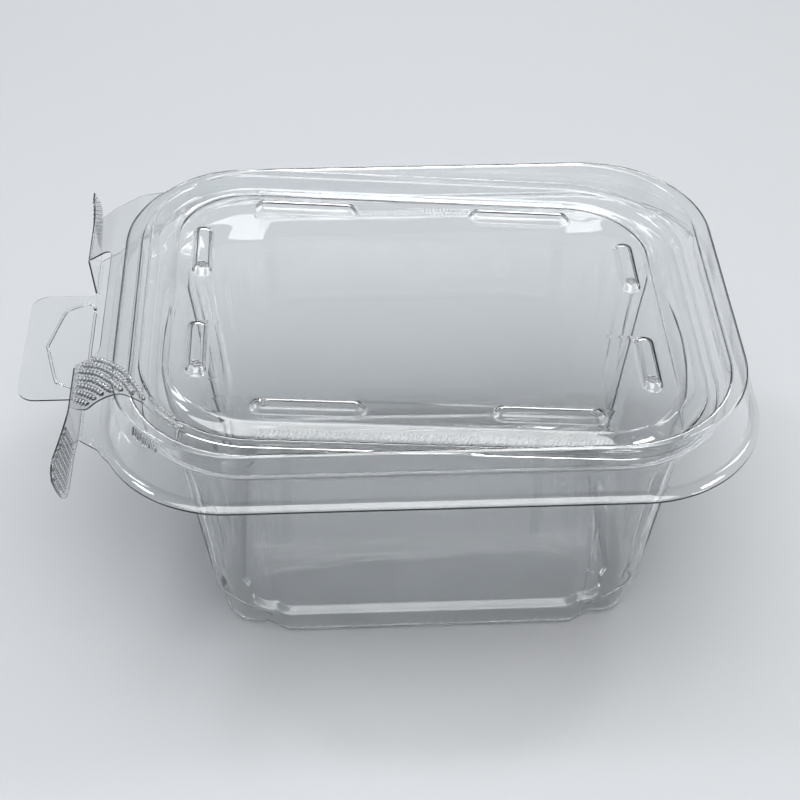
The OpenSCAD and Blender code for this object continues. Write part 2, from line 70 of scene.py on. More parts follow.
def clear_film(name, tint, rough, wave, wave_size, haze_size, grain=0.0):
    """Clear formed film: faint cast, patchy roughness and the slow ripple that forming leaves."""
    mat, tree, shader = new_material(name)
    link = tree.links.new
    coord = tree.nodes.new("ShaderNodeTexCoord")
    shader.inputs["Transmission Weight"].default_value = 1.0
    shader.inputs["IOR"].default_value = 1.52
    shader.inputs["Metallic"].default_value = 0.0

    haze = tree.nodes.new("ShaderNodeTexNoise")
    haze.inputs["Scale"].default_value = haze_size
    haze.inputs["Detail"].default_value = 3.0
    haze.inputs["Roughness"].default_value = 0.6
    link(coord.outputs["Object"], haze.inputs["Vector"])

    rough_map = tree.nodes.new("ShaderNodeMapRange")
    rough_map.inputs["From Min"].default_value = 0.35
    rough_map.inputs["From Max"].default_value = 0.75
    rough_map.inputs["To Min"].default_value = rough[0]
    rough_map.inputs["To Max"].default_value = rough[1]
    link(haze.outputs["Fac"], rough_map.inputs["Value"])
    link(rough_map.outputs["Result"], shader.inputs["Roughness"])

    tone = tree.nodes.new("ShaderNodeMix")
    tone.data_type = "RGBA"
    tone.inputs["A"].default_value = (*tint[0], 1)
    tone.inputs["B"].default_value = (*tint[1], 1)
    link(haze.outputs["Fac"], tone.inputs["Factor"])
    link(tone.outputs["Result"], shader.inputs["Base Color"])

    stretch = tree.nodes.new("ShaderNodeMapping")
    stretch.inputs["Scale"].default_value = (1.0, 1.0, 0.35)
    link(coord.outputs["Object"], stretch.inputs["Vector"])
    ripple = tree.nodes.new("ShaderNodeTexNoise")
    ripple.inputs["Scale"].default_value = wave_size
    ripple.inputs["Detail"].default_value = 2.0
    link(stretch.outputs["Vector"], ripple.inputs["Vector"])
    bump = tree.nodes.new("ShaderNodeBump")
    bump.inputs["Strength"].default_value = 1.0
    bump.inputs["Distance"].default_value = wave
    link(ripple.outputs["Fac"], bump.inputs["Height"])
    last = bump
    if grain:
        fine = tree.nodes.new("ShaderNodeTexVoronoi")
        fine.inputs["Scale"].default_value = 900.0
        link(coord.outputs["Object"], fine.inputs["Vector"])
        second = tree.nodes.new("ShaderNodeBump")
        second.inputs["Strength"].default_value = 1.0
        second.inputs["Distance"].default_value = grain
        link(fine.outputs["Distance"], second.inputs["Height"])
        link(bump.outputs["Normal"], second.inputs["Normal"])
        last = second
    link(last.outputs["Normal"], shader.inputs["Normal"])
    return mat


CLEAR = ((0.96, 0.975, 0.98), (0.99, 0.995, 1.0))
base_mat = clear_film("clear_film_base", CLEAR, (0.01, 0.05), 0.00011, 38.0, 60.0)
lid_mat = clear_film("clear_film_lid", CLEAR, (0.008, 0.04), 0.00009, 30.0, 70.0)
web_mat = clear_film("clear_film_web", CLEAR, (0.015, 0.07), 0.00006, 60.0, 120.0)
FROSTED = ((0.9, 0.91, 0.92), (0.98, 0.985, 0.99))
grip_mat = clear_film("textured_film", FROSTED, (0.1, 0.2), 0.00005, 90.0, 300.0, 0.00002)


# Mesh helpers.


def make(name, verts, faces, mat, smooth=True, sharp=50):
    mesh = bpy.data.meshes.new(name)
    mesh.from_pydata([tuple(v) for v in verts], [], faces)
    mesh.validate()
    work = bmesh.new()
    work.from_mesh(mesh)
    bmesh.ops.recalc_face_normals(work, faces=work.faces)
    if work.calc_volume(signed=True) < 0:
        bmesh.ops.reverse_faces(work, faces=work.faces)
    work.to_mesh(mesh)
    work.free()
    mesh.update()
    obj = bpy.data.objects.new(name, mesh)
    bpy.context.collection.objects.link(obj)
    mesh.materials.append(mat)
    mesh.polygons.foreach_set("use_smooth", [smooth] * len(mesh.polygons))
    if smooth:
        mesh.set_sharp_from_angle(angle=math.radians(sharp))
    return obj


def soft_ramp(u, k):
    return 0.5 * (u + np.sqrt(u * u + k * k))


def ramp(v, face, root, k=0.35):
    """1 inside the face, 0 past the root, with rounded bends between them."""
    return (soft_ramp(root - v, k) - soft_ramp(face - v, k)) / (root - face)


def span(marks, counts):
    """Sample positions between marks, the last mark left out."""
    parts = [np.linspace(a, b, n, endpoint=False) for a, b, n in zip(marks[:-1], marks[1:], counts)]
    return np.concatenate(parts)


def rounded_profile(stations, reach, turn=14.0):
    """Rounds the bends of a station list: an inner station becomes one point for each turn in degrees."""
    s = np.array(stations, float)
    out = [s[0]]
    for i in range(1, len(s) - 1):
        a, b, c = s[i - 1], s[i], s[i + 1]
        ahead = np.array([np.mean((b - a)[:2]), (b - a)[3]])
        after = np.array([np.mean((c - b)[:2]), (c - b)[3]])
        la, lc = np.linalg.norm(ahead), np.linalg.norm(after)
        angle = math.degrees(math.acos(np.clip(ahead @ after / (la * lc), -1, 1)))
        steps = int(np.clip(math.ceil(angle / turn), 1, 5))
        if steps == 1:
            out.append(b)
            continue
        r = min(reach, 0.42 * la, 0.42 * lc)
        p, q = b + (a - b) * r / la, b + (c - b) * r / lc
        for t in np.linspace(0, 1, steps):
            out.append((1 - t) ** 2 * p + 2 * t * (1 - t) * b + t * t * q)
    out.append(s[-1])
    return np.array(out)


def fill_in(stations, longest):
    """Adds stations on long straight runs, so that lofted detail has rows to follow."""
    out = [stations[0]]
    for a, b in zip(stations[:-1], stations[1:]):
        length = np.hypot(np.mean((b - a)[:2]), (b - a)[3])
        n = max(1, int(math.ceil(length / longest(a, b))))
        for t in np.arange(1, n + 1) / n:
            out.append(a + (b - a) * t)
    return np.array(out)


def mitres(stations, t):
    """Offset of each station through the film, as (outward, up)."""
    s = np.asarray(stations)
    o = (s[:, 0] + s[:, 1]) / 2
    d = np.stack([np.diff(o), np.diff(s[:, 3])], 1)
    d /= np.linalg.norm(d, axis=1)[:, None]
    n = np.stack([-d[:, 1], d[:, 0]], 1)
    a = np.vstack([n[:1], n])
    b = np.vstack([n, n[-1:]])
    m = a + b
    m /= np.linalg.norm(m, axis=1)[:, None]
    return t * m / np.maximum(0.62, np.sum(m * a, 1))[:, None]


# Least way from a panel step's face and root to the corner arc.
FACE_CLEAR, ROOT_CLEAR = 3.4, 1.4


def quarter_ring(hx, hy, r, pd, bow, fx, rx, fy, ry):
    """One quarter of a ring from +X towards +Y: points, share of the corner, and what is pillar."""
    r = min(r, hx - 1, hy - 1)
    fy, ry = min(fy, hy - r - FACE_CLEAR), min(ry, hy - r - ROOT_CLEAR)
    fx, rx = min(fx, hx - r - FACE_CLEAR), min(rx, hx - r - ROOT_CLEAR)
    y = span([0, fy - 1, fy + 0.6, ry - 0.6, ry + 0.6, hy - r], [10, 4, 4, 4, 3])
    p = ramp(y, fy, ry)
    x = hx + pd * p + bow * np.clip(1 - (y / fy) ** 2, 0, 1)
    a = np.radians(np.linspace(0, 90, 38, endpoint=False))
    arc = np.stack([hx - r + r * np.cos(a), hy - r + r * np.sin(a)], 1)
    x2 = span([hx - r, rx + 0.6, rx - 0.6, fx + 0.6, fx - 1, 0], [3, 4, 4, 4, 12])
    y2 = hy + pd * ramp(x2, fx, rx)
    pts = np.concatenate([np.stack([x, y], 1), arc, np.stack([x2, y2], 1)])
    c = np.concatenate([
        np.clip((y - ry) / max(0.1, hy - r - ry), 0, 1) * 0.15,
        0.15 + 0.7 * a / (math.pi / 2),
        1 - np.clip((x2 - rx) / max(0.1, hx - r - rx), 0, 1) * 0.15,
    ])
    inside = np.concatenate([y > ry - 0.3, np.ones(len(a), bool), x2 > rx - 0.3])
    return pts, c, inside


# Flutes of a pillar: place round the corner, height of the pointed foot, half width.
FLUTES = ((0.2, 26, 0.06), (0.4, 14, 0.07), (0.62, 20, 0.06), (0.82, 30, 0.05))
FLUTE_DEPTH, FLUTE_TOP = 0.9, 60.0


def pillar_dent(c, z, inside):
    """Depth of the pillar's formed detail: the stepped foot and the flutes, which taper to a point."""
    arch = 3.5 + 7.5 * np.sin(np.pi * np.clip(c, 0, 1)) ** 0.7
    step = 1.15 * np.clip((arch - z) / 1.0 + 0.5, 0, 1)
    step = step * np.clip(np.minimum(c, 1 - c) / 0.05, 0, 1)
    d = step
    for place, tip, half in FLUTES:
        rise = np.clip((z - tip) / (FLUTE_TOP - 2 - tip), 0, 1)
        width = half * (0.4 + 0.6 * rise)
        fade = np.clip((z - tip) / 18.0, 0, 1) * np.clip((FLUTE_TOP - z) / 7.0, 0, 1)
        fade = fade * fade * (3 - 2 * fade)
        d = d + FLUTE_DEPTH * fade * np.exp(-((c - place) / width) ** 2)
    return d * inside


def ring_points(s, d, dz):
    hx, hy, r, z, pd, bow, fx, rx, fy, ry, detail = s
    q, c, inside = quarter_ring(hx + d, hy + d, max(1.5, r + d), pd, bow, fx, rx, fy, ry)
    zz = z + dz
    if detail > 0:
        dent = detail * pillar_dent(c, zz, inside)
        centre = np.array([hx + d - max(1.5, r + d) - 2, hy + d - max(1.5, r + d) - 2])
        away = q - centre
        away /= np.linalg.norm(away, axis=1)[:, None]
        q = q - away * dent[:, None]
    top = np.array([[0, hy + d + pd]])
    quads = [
        q,
        top,
        q[:0:-1] * [-1, 1],
        [[-q[0][0], 0]],
        q[1:] * [-1, -1],
        -top,
        q[:0:-1] * [1, -1],
    ]
    xy = np.concatenate(quads)
    return np.column_stack([xy, np.full(len(xy), zz)])


def skin(stations, t):
    """Film with its edge, open at the last ring: upper rings, then lower rings."""
    off = mitres(stations, t)
    upper = [ring_points(s, 0, 0) for s in stations]
    lower = [ring_points(s, o[0], o[1]) for s, o in zip(stations, off)]
    k, r = len(upper[0]), len(upper)
    verts = np.concatenate(upper + lower)
    faces = []
    base = r * k
    for i in range(r - 1):
        for j in range(k):
            a, b = i * k + j, i * k + (j + 1) % k
            faces.append((a, a + k, b + k, b))
            faces.append((base + a, base + b, base + b + k, base + a + k))
    for j in range(k):
        b = (j + 1) % k
        faces.append((j, b, base + b, base + j))
    return verts, faces, k, r


# Tub and rim, one film from the lip down to the raised floor.


LIP_X, LIP_Y, LIP_R, LIP_Z, LIP_W = 78.1, 59.2, 31.2, 64.1, 2.0
LEAN, RIM_H, EDGE_R = 1.4, 13.5, 0.95
RIM_Z = LIP_Z + RIM_H
RIM_IN_X, RIM_IN_Y, RIM_IN_R = 70.15, 53.45, 28.5
BEND_R = 2.1
# Way in from the lip's flat to the foot of the skirt, and the skirt's smaller corner radius.
LIP_STEP, SKIRT_R_LOSS = 0.35, 0.4
SHOULDER = 61.3
# Half sizes of the tub at the foot, depth of its panels, flare up to the shoulder, and bow.
TUB_X, TUB_Y, PANEL_STEP = 55, 40, 2
FLARE_X, FLARE_Y, BOW = 7.4, 6.5, 2.6
# Pillar radius at the foot, its growth up to the shoulder, and the least it may be.
PILLAR_R, PILLAR_R_GROWTH, PILLAR_R_LEAST = 9.5, 3.5, 5.5
# Panel steps as (place at the foot, growth up to the shoulder): face and root on each wall.
LONG_FACE, LONG_ROOT = (36.0, 1.4), (38.8, 2.0)
SHORT_FACE, SHORT_ROOT = (21.2, 0.9), (24.0, 1.7)


def grown(size, u):
    return size[0] + size[1] * u


def tub(z, d, detail):
    """Station of the tub's wall at height z, moved in by d."""
    u = z / SHOULDER
    return [
        TUB_X - PANEL_STEP + FLARE_X * u - FILM - d,
        TUB_Y - PANEL_STEP + FLARE_Y * u - FILM - d,
        max(PILLAR_R_LEAST, PILLAR_R + PILLAR_R_GROWTH * u - FILM - d),
        z,
        float(PANEL_STEP),
        BOW * u,
        grown(LONG_FACE, u),
        grown(LONG_ROOT, u),
        grown(SHORT_FACE, u),
        grown(SHORT_ROOT, u),
        detail,
    ]


def plain(x, y, r, z):
    """Station without panels, with its sample places as at the shoulder."""
    t = tub(SHOULDER, 0, 0)
    return [x, y, r, z, 0, 0, t[6], t[7], t[8], t[9], 0]


def at_z(s, z, pd=None):
    s = list(s)
    s[3] = z
    if pd is not None:
        s[4] = pd
    return s


skirt = LIP_W + LIP_STEP + LEAN
rim_list = [plain(LIP_X, LIP_Y, LIP_R, LIP_Z)]
for a in (0, 20, 40, 60, 80):
    s, c = math.sin(math.radians(a)), math.cos(math.radians(a))
    out = LIP_W - BEND_R + LIP_STEP + BEND_R * s
    rim_list.append(plain(LIP_X - out, LIP_Y - out, LIP_R - out * 0.6, LIP_Z + BEND_R * (1 - c)))
rim_list.append(plain(LIP_X - skirt, LIP_Y - skirt, LIP_R - SKIRT_R_LOSS, RIM_Z - EDGE_R))
for a in (30, 60, 90):
    e = EDGE_R * (1 - math.cos(math.radians(a)))
    z = RIM_Z - EDGE_R * (1 - math.sin(math.radians(a)))
    rim_list.append(plain(LIP_X - skirt - e, LIP_Y - skirt - e, LIP_R - SKIRT_R_LOSS - e, z))
for a in (90, 60, 30, 0):
    e = EDGE_R * (1 - math.cos(math.radians(a)))
    z = RIM_Z - EDGE_R * (1 - math.sin(math.radians(a)))
    rim_list.append(plain(RIM_IN_X + e, RIM_IN_Y + e, RIM_IN_R + e, z))
# Steps under the rim: way in from its inner wall, height, and loss of corner radius per way in.
SEAT = ((0.25, 69.31, 1.0), (2.2, 69.01, 1.0), (3.3, 66.08, 1.2), (4.9, 65.48, 1.3))
rim_list += [plain(RIM_IN_X - d, RIM_IN_Y - d, RIM_IN_R - d * k, z) for d, z, k in SEAT]
FOOT_R, FOOT_W, RISE = 1.8, 4.4, 1.2
foot_top = FILM + FOOT_R
wall = [tub(SHOULDER, 0, 1)]
wall += [at_z(tub(foot_top, 0, 1), foot_top)]
for share, up in ((0.13, 0.5), (0.5, 0.134), (1.0, 0.0)):
    wall.append(at_z(tub(foot_top, FOOT_R * share, 1), FILM + FOOT_R * up))
wall += [
    at_z(tub(foot_top, FOOT_R + FOOT_W - 0.9, 0), FILM),
    at_z(tub(foot_top, FOOT_R + FOOT_W, 0), FILM + RISE * 0.15),
    at_z(tub(foot_top, FOOT_R + FOOT_W + 0.6, 0), FILM + RISE * 0.5),
    at_z(tub(foot_top, FOOT_R + FOOT_W + 1.1, 0), FILM + RISE * 0.9),
    at_z(tub(foot_top, FOOT_R + FOOT_W + 1.9, 0), FILM + RISE),
    at_z(tub(foot_top, FOOT_R + FOOT_W + 6, 0), FILM + RISE),
]
stations = rounded_profile(rim_list + wall, 0.7)
stations = fill_in(stations, lambda a, b: 1.0 if a[10] > 0 and b[10] > 0 else 6.0)
verts, faces, k, r = skin(stations, FILM)
base_n = r * k
flat = len(verts)
verts = np.vstack([verts, [[0, 0, FILM + RISE], [0, 0, RISE]]])
for j in range(k):
    b = (j + 1) % k
    faces.append((base_n - k + j, flat, base_n - k + b))
    faces.append((2 * base_n - k + j, 2 * base_n - k + b, flat + 1))
verts[:, 0] += FRAME_X
tub_obj = make("tub_film", verts * MM, faces, base_mat)
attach(tub_obj, "tub")
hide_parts("base")


# Lid film, in its own tilted frame.


TILT = math.radians(4.53)
LID_X0, LID_Z = -0.98, 74.3
PANEL = (59.9, 43.2, 18.9)
FLANGE_OUT, FLANGE_IN, FLANGE_H, MOAT_W, MOAT_D = 9.6, 7.2, 1.3, 5.0, 2.0
RIB_W, RIB_H = 5.0, 1.4
# Places that only set where the lid's plain walls are sampled.
LID_SAMPLES = (12, 20, 8, 14)
# Ribs: place on the panel and straight length, on the short sides and on the long ones.
END_RIB_X, END_RIB_Y, END_RIB_SHIFT, END_RIB_L = 53.8, 18.6, 0.4, 15.0
SIDE_RIB_X, SIDE_RIB_Y, SIDE_RIB_SHIFT, SIDE_RIB_L = 27.9, 38.0, 0.3, 21.9


def lid_to_world(v):
    v = np.asarray(v, float)
    x, y, z = v[:, 0], v[:, 1], v[:, 2]
    c, s = math.cos(TILT), math.sin(TILT)
    return np.column_stack([x * c + z * s + LID_X0 + FRAME_X, y, -x * s + z * c + LID_Z])


def world_to_lid(x, z):
    c, s = math.cos(TILT), math.sin(TILT)
    return np.array([(x - LID_X0) * c - (z - LID_Z) * s, (x - LID_X0) * s + (z - LID_Z) * c])


def lid_ring(o, h):
    return [PANEL[0] + o, PANEL[1] + o, PANEL[2] + o, h, 0, 0, *LID_SAMPLES, 0]


lid_list = [
    lid_ring(FLANGE_OUT, FLANGE_H - 0.05),
    lid_ring(FLANGE_OUT - 0.6, FLANGE_H),
    lid_ring(FLANGE_IN, FLANGE_H),
    lid_ring(FLANGE_IN - 0.45, FLANGE_H - 0.3),
    lid_ring(FLANGE_IN - 0.8, FLANGE_H - 0.9),
    lid_ring(MOAT_W + 0.5, -MOAT_D + 0.7),
    lid_ring(MOAT_W + 0.1, -MOAT_D + 0.15),
    lid_ring(MOAT_W - 0.5, -MOAT_D),
    lid_ring(3.0, -MOAT_D + 0.25),
    lid_ring(1.6, -MOAT_D + 0.7),
    lid_ring(1.0, -MOAT_D + 1.1),
    lid_ring(0.5, -0.45),
    lid_ring(0.1, -0.1),
    lid_ring(-0.5, 0),
    lid_ring(-1.2, 0),
]
lid_stations = rounded_profile(lid_list, 0.4)
verts, faces, k, r = skin(lid_stations, FILM)
n_ring = r * k
verts = [tuple(v) for v in verts]
top_edge = [n_ring - k + j for j in range(k)]
low_edge = [2 * n_ring - k + j for j in range(k)]


def stadium(l, w, n=14):
    a = np.radians(np.linspace(-90, 90, n))
    right = np.column_stack([l / 2 + w / 2 * np.cos(a), w / 2 * np.sin(a)])
    return np.vstack([right, -right])


def rib_places():
    """Middle, turn and straight length of each rib."""
    out = []
    for i in (-1, 1):
        for j in (-1, 1):
            out.append((i * END_RIB_X, j * END_RIB_Y - END_RIB_SHIFT, 90, END_RIB_L))
            out.append((i * SIDE_RIB_X, j * SIDE_RIB_Y - SIDE_RIB_SHIFT, 0, SIDE_RIB_L))
    return out


# Section of a rib: growth past its outline, and height.
RIB_ROWS = (
    (0.4, 0.0),
    (0.12, 0.02),
    (0.0, 0.14),
    (-0.14, 0.45),
    (-0.32, 0.95),
    (-0.55, 1.26),
    (-0.85, 1.38),
    (-1.2, 1.4),
)
# How far each end of a rib leans in for each millimetre of height.
RIB_END_LEAN = 0.55


def raised_panel(edge, drop, shrink):
    """Flat panel with the ribs formed in it. edge holds vertex numbers of its border."""
    border = [Vector(verts[i]) for i in edge]
    loops, ids = [border], list(edge)
    z0 = border[0].z
    for x, y, turn, length in rib_places():
        c, s = math.cos(math.radians(turn)), math.sin(math.radians(turn))
        rows = []
        for grow, h in RIB_ROWS:
            p = stadium(length - 2 * RIB_END_LEAN * h, RIB_W + 2 * (grow - shrink))
            row = []
            for u, v in p:
                verts.append((x + u * c - v * s, y + u * s + v * c, z0 + h))
                row.append(len(verts) - 1)
            rows.append(row)
        loops.append([Vector(verts[i]) for i in rows[0]])
        ids += rows[0]
        n = len(rows[0])
        for a, b in zip(rows[:-1], rows[1:]):
            for j in range(n):
                q = (a[j], a[(j + 1) % n], b[(j + 1) % n], b[j])
                faces.append(q if not drop else q[::-1])
        faces.append(tuple(rows[-1]) if not drop else tuple(rows[-1][::-1]))
    for t in tessellate_polygon(loops):
        a, b, c = (ids[i] for i in t)
        pa, pb, pc = (np.array(verts[i]) for i in (a, b, c))
        up = np.cross(pb - pa, pc - pa)[2] > 0
        faces.append((a, b, c) if up != drop else (a, c, b))


raised_panel(top_edge, False, 0.0)
raised_panel(low_edge, True, FILM)
lid_obj = make("lid_film", lid_to_world(verts) * MM, faces, lid_mat)
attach(lid_obj, "cover")
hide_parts("lid")


# Flat webs.


def smooth_line(points, step=0.5):
    """Catmull-Rom curve through the points."""
    p = [np.array(q, float) for q in points]
    p = [2 * p[0] - p[1]] + p + [2 * p[-1] - p[-2]]
    out = []
    for i in range(1, len(p) - 2):
        a, b, c, d = p[i - 1 : i + 3]
        n = max(2, int(np.linalg.norm(c - b) / step))
        for t in np.linspace(0, 1, n, endpoint=False):
            q = 2 * b + (c - a) * t + (2 * a - 5 * b + 4 * c - d) * t * t + (3 * b - a - 3 * c + d) * t ** 3
            out.append(tuple(0.5 * q))
    out.append(tuple(p[-2]))
    return out


def sheet(name, outline, lift, mat, body, cuts_x=(), cuts_y=(), thick=WEB):
    """Film of even thickness over a flat outline. lift(x, y, h) gives the place in the row frame."""
    work = bmesh.new()
    loop = [work.verts.new((x, y, 0)) for x, y in outline]
    for tri in tessellate_polygon([[v.co for v in loop]]):
        work.faces.new([loop[i] for i in tri])
    for axis, cuts in ((0, cuts_x), (1, cuts_y)):
        for c in cuts:
            place, way = [0, 0, 0], [0, 0, 0]
            place[axis], way[axis] = c, 1
            parts = work.verts[:] + work.edges[:] + work.faces[:]
            bmesh.ops.bisect_plane(work, geom=parts, plane_co=place, plane_no=way)
    bmesh.ops.triangulate(work, faces=work.faces)
    work.verts.index_update()
    flat = np.array([v.co[:] for v in work.verts])
    n = len(flat)
    tris = [tuple(v.index for v in f.verts) for f in work.faces]
    edges = [tuple(v.index for v in e.verts) for e in work.edges if len(e.link_faces) == 1]
    work.free()
    v = np.vstack([lift(flat[:, 0], flat[:, 1], thick / 2), lift(flat[:, 0], flat[:, 1], -thick / 2)])
    f = list(tris) + [(n + a, n + c, n + b) for a, b, c in tris]
    f += [(a, b, n + b, n + a) for a, b in edges]
    obj = make(name, v * MM, f, mat)
    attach(obj, body)
    return obj


def bead(path, lift, radius, twist=0.0, depth=0.0, sides=10):
    """Round bead along a path of (x, y) on a sheet, with rope-like strands when twist is set."""
    p = np.array(path, float)
    s = np.concatenate([[0], np.cumsum(np.linalg.norm(np.diff(p, axis=0), axis=1))])
    t = np.gradient(p, axis=0)
    t /= np.linalg.norm(t, axis=1)[:, None]
    side = np.stack([-t[:, 1], t[:, 0]], 1)
    fade = np.clip(np.minimum(s, s[-1] - s) / (radius * 1.6) + 0.15, 0, 1) ** 0.5
    v, f = [], []
    for i in range(len(p)):
        a = np.linspace(0, 2 * math.pi, sides, endpoint=False)
        r = radius * fade[i] * (1 + (depth * np.cos(2 * a + 2 * math.pi * s[i] / twist) if twist else 0))
        q = p[i] + side[i] * (np.cos(a) * r)[:, None]
        v.append(lift(q[:, 0], q[:, 1], WEB / 2 + np.sin(a) * r * 0.8))
    m = len(v)
    for i in range(m - 1):
        for j in range(sides):
            b = (j + 1) % sides
            f.append((i * sides + j, i * sides + b, (i + 1) * sides + b, (i + 1) * sides + j))
    f.append(tuple(range(sides)))
    f.append(tuple((m - 1) * sides + j for j in range(sides))[::-1])
    return np.vstack(v), f


def join_parts(parts):
    verts, faces, base = [], [], 0
    for v, f in parts:
        verts.append(v)
        faces += [tuple(i + base for i in q) for q in f]
        base += len(v)
    return np.vstack(verts), faces


def inside(poly, x, y):
    hit = False
    for (x0, y0), (x1, y1) in zip(poly, poly[1:] + poly[:1]):
        if (y0 > y) != (y1 > y) and x < (x1 - x0) * (y - y0) / (y1 - y0) + x0:
            hit = not hit
    return hit


def clip_path(path, poly):
    runs, run = [], []
    for q in path:
        if inside(poly, q[0], q[1]):
            run.append(q)
        else:
            if len(run) > 6:
                runs.append(run)
            run = []
    if len(run) > 6:
        runs.append(run)
    return runs


def clear_of(line, q, d):
    return min(math.hypot(q[0] - x, q[1] - y) for x, y in line) > d


def shrink(poly, d):
    """Moves each side of a closed outline inwards by about d."""
    p = np.array(poly)
    area = np.sum(p[:, 0] * np.roll(p[:, 1], -1) - np.roll(p[:, 0], -1) * p[:, 1])
    t = np.roll(p, -1, 0) - np.roll(p, 1, 0)
    t /= np.maximum(1e-9, np.linalg.norm(t, axis=1))[:, None]
    n = np.stack([-t[:, 1], t[:, 0]], 1) * (1 if area > 0 else -1)
    return [tuple(q) for q in p + n * d]


# Lower web and hang tab.

FOLD_X, FOLD_HALF, TAB_REACH, TAB_HALF, TAB_R, GAP = 82.8, 33.8, 16.0, 19.6, 4.5, 0.35
WEB_Z = LIP_Z - FILM / 2


def lip_run(x, y, r, a0):
    a = np.radians(np.linspace(a0, 180, 14))
    low = [(-(x - r) + r * math.cos(t), -(y - r) + r * math.sin(t)) for t in a]
    return low + [(px, -py) for px, py in low[::-1]]


def lower_lift(x, y, h):
    return np.column_stack([x + FRAME_X, y, np.full(len(x), WEB_Z) + h])


lip_edge = lip_run(LIP_X, LIP_Y, LIP_R, 206)
WEB_SIDE = [(-81.4, 34.7), (-79.8, 35.9), (-78.0, 37.3), (-76.6, 39.6)]
front = smooth_line([(-(FOLD_X - GAP), -FOLD_HALF)] + [(x, -y) for x, y in WEB_SIDE] + [lip_edge[0]])
back = [(x, -y) for x, y in front[::-1]]
tab_pts = [(-(FOLD_X - GAP), TAB_HALF)]
for cy, a0 in ((TAB_HALF - TAB_R, 90), (-(TAB_HALF - TAB_R), 180)):
    for t in np.radians(np.linspace(a0, a0 + 90, 14)):
        tab_pts.append((-(FOLD_X + TAB_REACH - TAB_R) + TAB_R * math.cos(t), cy + TAB_R * math.sin(t)))
tab_pts.append((-(FOLD_X - GAP), -TAB_HALF))
outline = tab_pts + front + lip_edge[1:-1] + back
sheet("lower_web_and_tab", outline, lower_lift, web_mat, "tub")

HOLE_SIDE = [(0, 0.84), (0.05, 0.95), (0.16, 1), (0.3, 0.985), (0.6, 0.87), (0.72, 0.76), (0.98, 0.05)]
hx0, hh, hw = -FOLD_X + 0.3, 10.7, 16.0
side = [(hx0 - a * hh, b * hw) for a, b in HOLE_SIDE]
loop = smooth_line(side[:-1] + [(hx0 - hh, 0.0)], 0.4)
ring_path = [(x, y) for x, y in loop] + [(x, -y) for x, y in loop[-2::-1]]
ring_path = ring_path + [(hx0, -y) for y in np.linspace(-0.84 * hw, 0.84 * hw, 60)[::-1]][1:]
v, f = bead(ring_path, lower_lift, 0.4)
obj = make("hang_hole_line", v * MM, f, web_mat)
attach(obj, "tub")

# Perforation marks beside the folds.


# Half sizes of a perforation mark, the pitch of the marks and their way from the row's ends.
DASH, DASH_PITCH, DASH_END = (0.11, 0.55, 0.24), 2.1, 0.8
BOX_FACES = [(0, 1, 3, 2), (4, 6, 7, 5), (0, 4, 5, 1), (2, 3, 7, 6), (0, 2, 6, 4), (1, 5, 7, 3)]


def dash_box():
    x, y, z = DASH
    return np.array([(dx, dy, dz) for dx in (-x, x) for dy in (-y, y) for dz in (-z, z)])


def dashes(name, half_from, half_to, place, body):
    """Row of perforation marks on both sides of the middle."""
    parts = []
    y = half_from + DASH_END
    while y < half_to - DASH_END:
        for s in (-1, 1):
            parts.append((place(s * y) + dash_box(), BOX_FACES))
        y += DASH_PITCH
    v, f = join_parts(parts)
    obj = make(name, v * MM, f, grip_mat, smooth=False)
    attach(obj, body)


DASH_IN = 0.3


def lower_dash_place(y):
    return np.array([-FOLD_X + GAP + DASH_IN + FRAME_X, y, WEB_Z])


dashes("perforation_lower", TAB_HALF + 0.6, FOLD_HALF, lower_dash_place, "tub")

# Upper web of the lid, in the lid's frame.

FOLD2_X, FOLD2_Z = FOLD_X + 0.8, WEB_Z + 11.0
EDGE = (PANEL[0] + FLANGE_OUT, PANEL[1] + FLANGE_OUT, PANEL[2] + FLANGE_OUT)
bend = world_to_lid(-(FOLD2_X - 6.3), FOLD2_Z + 3.7)
fold = world_to_lid(-FOLD2_X, FOLD2_Z)
root = np.array([-EDGE[0] - 0.6, FLANGE_H - FILM / 2])
slope1 = (root[1] - bend[1]) / (root[0] - bend[0])
slope2 = (bend[1] - fold[1]) / (bend[0] - fold[0])


def web_h(x):
    """Middle of the film, with a soft bend at each crease."""
    return root[1] - slope1 * soft_ramp(root[0] - x, 0.8) - (slope2 - slope1) * soft_ramp(bend[0] - x, 0.7)


def upper_lift(x, y, h):
    d = (web_h(x + 0.01) - web_h(x - 0.01)) / 0.02
    n = np.stack([-d, np.ones_like(d)], 1) / np.hypot(d, 1)[:, None]
    h = np.broadcast_to(h, x.shape)
    return lid_to_world(np.column_stack([x + n[:, 0] * h, y, web_h(x) + n[:, 1] * h]))


fold_l = fold[0] + GAP
WINDOW_HALF, UPPER_HALF, WINDOW_R = 20.2, 34.4, 2.5
length = EDGE[0] * -1 - fold[0]
# Cut edges of the web, as shares of its length: way from the fold, and way out.
FRONT_EDGE = [
    (0, 0), (0.1, 0.13), (0.21, 0.22), (0.3, 0.28), (0.36, 0.28),
    (0.5, 0.2), (0.66, 0.15), (0.8, 0.15), (0.93, 0.18), (1.08, 0.25),
]
BACK_EDGE = [(0.0, 0.0), (0.15, 0.1), (0.4, 0.2), (0.76, 0.32), (1.04, 0.4)]


def edge_x(y):
    """Lid flange edge on the hinge side at distance y from the middle."""
    r = EDGE[2]
    return -(EDGE[0] - r) - math.sqrt(r * r - max(0.0, abs(y) - (EDGE[1] - r)) ** 2)


